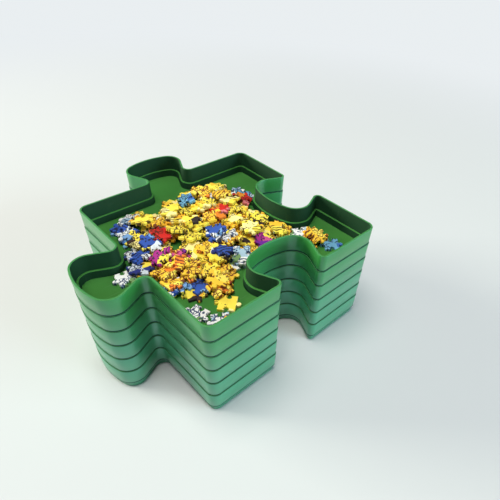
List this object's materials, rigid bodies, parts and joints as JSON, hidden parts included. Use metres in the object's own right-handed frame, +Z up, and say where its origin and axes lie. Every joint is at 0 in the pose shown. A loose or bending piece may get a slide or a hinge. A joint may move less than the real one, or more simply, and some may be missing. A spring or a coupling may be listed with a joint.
{
  "type": "puzzle sorting tray stack",
  "caption": "Stack of jigsaw-shaped green plastic sorting trays, each nesting in the rim below, with a heap of loose jigsaw pieces in the top tray.",
  "frame": {"origin": "middle of the square body on the bottom tray's rest face", "axes": "+Z up through the stack, knobs on the -X and +Y flanks, sockets in the -Y and +X flanks"},
  "size_m": [0.196, 0.196, 0.09],
  "materials": {
    "blue_print": "printed board, semi-gloss",
    "magenta_print": "printed board, semi-gloss",
    "navy_print": "printed board, semi-gloss",
    "orange_print": "printed board, semi-gloss",
    "red_print": "printed board, semi-gloss",
    "sky_print": "printed board, semi-gloss",
    "tray": "moulded, satin gloss",
    "white_print": "printed board, semi-gloss",
    "yellow_print": "printed board, semi-gloss"
  },
  "bodies": {
    "tray_1": {"tray_1": "tray"},
    "tray_2": {"tray_2": "tray"},
    "tray_3": {"tray_3": "tray"},
    "tray_4": {"tray_4": "tray"},
    "tray_5": {"tray_5": "tray"},
    "tray_6": {"tray_6": "tray"},
    "loose_pieces": {"blue_piece_1": "blue_print", "blue_piece_2": "blue_print", "magenta_piece_1": "magenta_print", "magenta_piece_2": "magenta_print", "navy_piece_1": "navy_print", "orange_piece_1": "orange_print", "orange_piece_2": "orange_print", "orange_piece_3": "orange_print", "orange_piece_4": "orange_print", "orange_piece_5": "orange_print", "orange_piece_6": "orange_print", "orange_piece_7": "orange_print", "red_piece_1": "red_print", "red_piece_2": "red_print", "sky_piece_1": "sky_print", "sky_piece_2": "sky_print", "white_piece_1": "white_print", "white_piece_2": "white_print", "yellow_piece_1": "yellow_print", "yellow_piece_10": "yellow_print", "yellow_piece_11": "yellow_print", "yellow_piece_12": "yellow_print", "yellow_piece_13": "yellow_print", "yellow_piece_14": "yellow_print", "yellow_piece_15": "yellow_print", "yellow_piece_2": "yellow_print", "yellow_piece_3": "yellow_print", "yellow_piece_4": "yellow_print", "yellow_piece_5": "yellow_print", "yellow_piece_6": "yellow_print", "yellow_piece_7": "yellow_print", "yellow_piece_8": "yellow_print", "yellow_piece_9": "yellow_print"}
  },
  "joints": [
    {"name": "lift_tray_2", "type": "slide", "parent": "tray_1", "child": "tray_2", "axis": [0, 0, 1], "range_m": [0, 0.06]},
    {"name": "lift_tray_3", "type": "slide", "parent": "tray_2", "child": "tray_3", "axis": [0, 0, 1], "range_m": [0, 0.06]},
    {"name": "lift_tray_4", "type": "slide", "parent": "tray_3", "child": "tray_4", "axis": [0, 0, 1], "range_m": [0, 0.06]},
    {"name": "lift_tray_5", "type": "slide", "parent": "tray_4", "child": "tray_5", "axis": [0, 0, 1], "range_m": [0, 0.06]},
    {"name": "lift_tray_6", "type": "slide", "parent": "tray_5", "child": "tray_6", "axis": [0, 0, 1], "range_m": [0, 0.06]},
    {"name": "lift_loose_pieces", "type": "slide", "parent": "tray_6", "child": "loose_pieces", "axis": [0, 0, 1], "range_m": [0, 0.06]}
  ]
}
